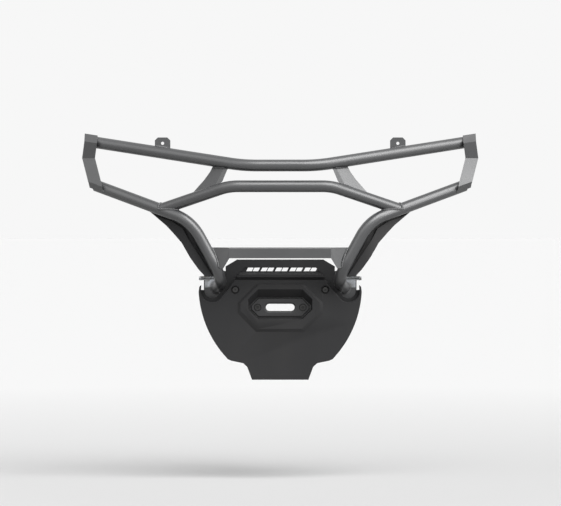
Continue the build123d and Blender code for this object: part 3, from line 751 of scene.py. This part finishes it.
class BUMPER_OT_fasteners(Operator):
    """Finishes the bolts, screws, nuts and zinc brackets, and cuts threads on their tails"""

    bl_idname = "bumper.fasteners"
    bl_label = "Fasteners"

    def execute(self, context):
        pieces = {}
        for slot, word, nodes in FASTENERS:
            for node in nodes:
                pieces[node] = softened(node, f"{node}_{word}", slot, FASTENER_EDGE)
        for node, slot, radius, pitch, start, end in THREADS:
            start, end = np.array(start), np.array(end)
            for side in (1.0, MIRROR):
                draw_in(pieces[node].data, start * side, end * side, radius)
            pair = joined(both_sides([threaded(radius, pitch, start, end)]))
            place(node + "_threads", *pair, slot, merge=False)
        return {"FINISHED"}


# Points round a bead, how far its ripples neck it, and the radii over which an open end tapers
BEAD_AROUND = 10
RIPPLE = 0.16
END_TAPER = 1.5

# The smaller bead round the disc in a tube's end: its radius, how far it lies inside the tube's skin, and
# the points round it
DISC_BEAD_R = 1.1
DISC_BEAD_INSET = 2.2
DISC_BEAD_AROUND = 8

# Points of a circle that is cut to a seat
CIRCLE_POINTS = 96


def bead(path, closed=False, radius=None, around=BEAD_AROUND):
    """A weld bead: a round cord along a path whose radius swells and necks like laid scales.

    At distance s along the path the radius is r * (1 - q + q * |sin(pi * s / p)|), where q is the ripple
    and p the pitch, stretched to fit the length. It is multiplied by 1 + 0.05 * sin(3 u) + 0.03 *
    sin(7 u + 1), where u turns once over the whole path. The ends of an open bead shrink with the root of
    the distance, over END_TAPER radii.
    """
    weld = bpy.context.scene.bumper_welds
    r = radius or weld.bead / MM
    pitch = weld.pitch / MM
    path = even(path, pitch / 4, closed)
    s = np.concatenate([[0], np.cumsum(np.linalg.norm(np.diff(path, axis=0), axis=1))])
    total = s[-1] + (np.linalg.norm(path[0] - path[-1]) if closed else 0)
    count = max(1, round(total / pitch))
    u = 2 * np.pi * s / total
    size = r * (1 - RIPPLE + RIPPLE * np.abs(np.sin(count * u / 2)))
    size = size * (1 + 0.05 * np.sin(3 * u) + 0.03 * np.sin(7 * u + 1))
    if closed:
        return loop_of_rings(rings(path, size, around, closed))
    size = size * np.sqrt(np.clip(np.minimum(s, total - s) / (END_TAPER * r), 0.02, 1))
    return solid_of_rings(rings(path, size, around))


def ring_cut(start, end, radius, cut):
    """A circle round a straight axis, sent along the axis onto a cut."""
    way = unit(end - start)
    return cut(rings(np.array([start, start + way]), radius, CIRCLE_POINTS)[0], way)


def end_ring(start, end, radius):
    """A circle round the far end of a straight axis."""
    return ring_cut(start, end, radius, lambda points, way: points + way * np.linalg.norm(end - start))


# Millimetres between the points of an axis where seats are read, how far a seat's points may lie off it,
# the share of the widest distance from the seat's middle from which a point is on its edge, and the
# points of a weld line
AXIS_STEP = 0.5
SEAT_SLACK = 0.1
EDGE_SHARE = 0.45
LINE_POINTS = 60


def weld_line(node, path, radius, side, across):
    """One edge of the seat where a plate's CAD mesh is coped to a tube.

    The seat's vertices lie at radius + gap from the axis. Unrolled, the tube's skin has distance s along
    and angle a round. A straight fit splits the vertices into the seat's two edges, and side, -1 or 1,
    picks one. It is drawn back on the skin as c(s) + r * (cos(a) * n + sin(a) * b). across is set where
    the edges run round the tube.
    """
    p = mesh_points(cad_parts[node].data)
    c = even(path, AXIS_STEP)
    t, n, b = frames(c)
    k = np.linalg.norm(p[:, None] - c[None], axis=2).argmin(1)
    out = p - c[k]
    out = out - (out * t[k]).sum(-1, keepdims=True) * t[k]
    seat = np.abs(np.linalg.norm(out, axis=1) - radius - WELD_GAP) < SEAT_SLACK
    k, out = k[seat], out[seat]
    x, y = (out * n[k]).sum(-1), (out * b[k]).sum(-1)
    middle = np.arctan2(y.mean(), x.mean())
    s = k * AXIS_STEP
    a = (np.arctan2(y, x) - middle + np.pi) % (2 * np.pi) - np.pi
    u, v = (a * radius, s) if across else (s, a * radius)
    rest = side * (v - np.polyval(np.polyfit(u, v, 1), u))
    edge = rest > EDGE_SHARE * rest.max()
    order = np.argsort(u[edge])
    u, v = u[edge][order], v[edge][order]
    at = np.linspace(u[0], u[-1], LINE_POINTS)
    s, a = (np.interp(at, u, v), at / radius) if across else (at, np.interp(at, u, v) / radius)
    k = np.clip(np.round(s / AXIS_STEP).astype(int), 0, len(c) - 1)
    a = (a + middle)[:, None]
    return c[k] + radius * (np.cos(a) * n[k] + np.sin(a) * b[k])


# Plate, tube that it meets, and whether the edges of its seat run round the tube
WELDED = (
    ("left_gusset", "rail", False), ("left_gusset", "hoop", False), ("left_rack_tab", "rail", False),
    ("cross_plate", "side", False), ("winch_plate", "side", True), ("left_end_plate", "rail", True),
    ("left_end_plate", "side", True),
)


class BUMPER_OT_welds(Operator):
    """Lays weld beads where tubes and plates meet"""

    bl_idname = "bumper.welds"
    bl_label = "Weld beads"

    def execute(self, context):
        r = context.scene.bumper_tubes.diameter / MM / 2
        hoop = hoop_corners()
        saddle = ring_cut(hoop[2], hoop[3], r, onto_tube(SIDE[0], SIDE[1], r))
        self.lay("hoop_welds", [bead(saddle, True)])
        foot = ring_cut(SIDE[2], SIDE[3], r, onto_level(-FLANGE_THICK))
        self.lay("foot_welds", [bead(foot, True)])
        ends = [end_ring(*run, r - DISC_BEAD_INSET) for run in (RAIL[2:], SIDE[1::-1])]
        self.lay("end_cap_welds", [bead(end, True, DISC_BEAD_R, DISC_BEAD_AROUND) for end in ends])
        axis = axes()
        for node, tube, across in WELDED:
            lines = [weld_line(node, axis[tube], r, side, across) for side in (-1, 1)]
            self.lay(node.removeprefix("left_") + "_" + tube + "_welds", [bead(line) for line in lines])
        return {"FINISHED"}

    def lay(self, name, beads):
        """Places beads and their mirror images as one piece."""
        place(name, *joined(both_sides(beads)), "powder_coat", merge=False)


# Half the floor's side, where its painted shade starts and stops fading, how far the camera sees, and how
# far off the lamps are drawn, in metres
FLOOR_HALF = 60.0
FLOOR_SHADE_FADE = (0.9, 4.5)
FAR_CLIP = 300.0
LAMP_REACH = 3.0

# Grey of the floor for diffuse bounces, and millimetres across the camera's sensor
FLOOR_BOUNCE = 0.12
SENSOR = 36.0

# Name, strength, and in degrees the width, turn to the right of the camera and rise of each lamp
LAMPS = (
    ("key", 2.8, 44.0, 25.0, 50.0),
    ("side", 2.0, 42.0, 62.0, 22.0),
    ("fill", 0.55, 50.0, -40.0, 34.0),
)


class BUMPER_OT_stage(Operator):
    """Makes the floor, the background, the lights and the camera"""

    bl_idname = "bumper.stage"
    bl_label = "Stage"

    def execute(self, context):
        stage = context.scene.bumper_stage
        self.floor(context.scene, stage)
        for lamp in LAMPS:
            self.sun(context.scene, *lamp)
        self.paper(context.scene, stage)
        self.camera(context.scene, stage)
        return {"FINISHED"}

    def floor(self, scene, stage):
        """A square floor with a painted shade: grey by the object, pale far off.

        Diffuse bounces see it dark, so that it doesn't light the object from below.
        """
        half, z = FLOOR_HALF, stage.floor_height
        mesh = bpy.data.meshes.new("floor")
        corners = [(-half, -half, z), (half, -half, z), (half, half, z), (-half, half, z)]
        mesh.from_pydata(corners, [], [(0, 1, 2, 3)])
        floor = bpy.data.objects.new("floor", mesh)
        scene.collection.objects.link(floor)
        s = Shader("floor")
        reach = s.add("ShaderNodeVectorMath", {0: s.coords}, operation="LENGTH").outputs["Value"]
        # Painted shade: the floor's grey darkens towards the object, a shadow painted round it
        tone = s.remap(reach, *FLOOR_SHADE_FADE, stage.floor_shade_near, stage.floor_far)
        mesh.materials.append(s.finish(tone, 0.9, Specular_IOR_Level=0.0))
        dark = s.add("ShaderNodeBsdfDiffuse", {"Color": grey(FLOOR_BOUNCE)}).outputs[0]
        mix = s.add("ShaderNodeMixShader", {0: s.seen_ray(), 1: dark, 2: s.surface.outputs[0]})
        s.put(s.nodes["Material Output"], {"Surface": mix.outputs[0]})

    def sun(self, scene, name, strength, spread, turn, rise):
        """A lamp as wide as the given degrees, turned to the right of the camera and raised by degrees."""
        turn, rise = np.radians(turn), np.radians(rise)
        towards = Vector((np.sin(turn) * np.cos(rise), -np.cos(turn) * np.cos(rise), np.sin(rise)))
        lamp = bpy.data.lights.new(name, "SUN")
        lamp.energy = strength
        lamp.angle = np.radians(spread)
        holder = bpy.data.objects.new(name, lamp)
        holder.rotation_euler = towards.to_track_quat("Z", "Y").to_euler()
        holder.location = towards * LAMP_REACH
        scene.collection.objects.link(holder)

    def paper(self, scene, stage):
        """Pale paper all round, which diffuse bounces see as a dim room."""
        scene.world = bpy.data.worlds.new("studio")
        w = Tree(scene.world)
        dim = w.add("ShaderNodeBackground", {"Color": grey(1.0), "Strength": stage.room})
        pale = w.add("ShaderNodeBackground", {"Color": grey(1.0), "Strength": stage.paper})
        mix = w.add("ShaderNodeMixShader", {0: w.seen_ray(), 1: dim.outputs[0], 2: pale.outputs[0]})
        w.put(w.nodes["World Output"], {"Surface": mix.outputs[0]})

    def camera(self, scene, stage):
        """A long lens in front of the object, turned down by the tilt."""
        lens = bpy.data.cameras.new("camera")
        lens.lens = stage.lens
        lens.sensor_width = SENSOR
        lens.clip_end = FAR_CLIP
        camera = bpy.data.objects.new("camera", lens)
        camera.location = (stage.camera_offset, -stage.camera_distance, stage.camera_height)
        camera.rotation_euler = (np.pi / 2 - stage.camera_tilt, 0.0, 0.0)
        scene.collection.objects.link(camera)
        scene.camera = camera
        scene.view_settings.view_transform = "Standard"


# Name on the scene, title and class of each group of settings
SETTINGS = (
    ("bumper_finish", "Finishes", FinishSettings), ("bumper_tubes", "Tubes", TubeSettings),
    ("bumper_welds", "Welds", WeldSettings), ("bumper_edges", "Edges", EdgeSettings),
    ("bumper_stage", "Stage", StageSettings),
)
OPERATORS = (
    BUMPER_OT_tubes, BUMPER_OT_plates, BUMPER_OT_mouldings, BUMPER_OT_fairlead, BUMPER_OT_fasteners,
    BUMPER_OT_welds, BUMPER_OT_stage,
)


class BUMPER_PT_panel(Panel):
    """Lists the settings and the pieces of the bumper"""

    bl_label = "Front bumper"
    bl_idname = "BUMPER_PT_panel"
    bl_space_type = "VIEW_3D"
    bl_region_type = "UI"
    bl_category = "Bumper"

    def draw(self, context):
        for key, title, cls in SETTINGS:
            box = self.layout.box()
            box.label(text=title)
            for name in cls.__annotations__:
                box.prop(getattr(context.scene, key), name)
        for operator in OPERATORS:
            self.layout.operator(operator.bl_idname)


CLASSES = (*(cls for key, title, cls in SETTINGS), *OPERATORS, BUMPER_PT_panel)


def register():
    """Registers the classes and hangs the settings on the scene."""
    for cls in CLASSES:
        bpy.utils.register_class(cls)
    for key, title, cls in SETTINGS:
        setattr(bpy.types.Scene, key, PointerProperty(name=title, type=cls))


def unregister():
    """Takes the settings and the classes away again."""
    for key, title, cls in SETTINGS:
        delattr(bpy.types.Scene, key)
    for cls in reversed(CLASSES):
        bpy.utils.unregister_class(cls)


def main():
    """Registers the add-on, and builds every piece."""
    register()
    for operator in OPERATORS:
        getattr(bpy.ops.bumper, operator.bl_idname.removeprefix("bumper."))()


if __name__ == "__main__":
    main()
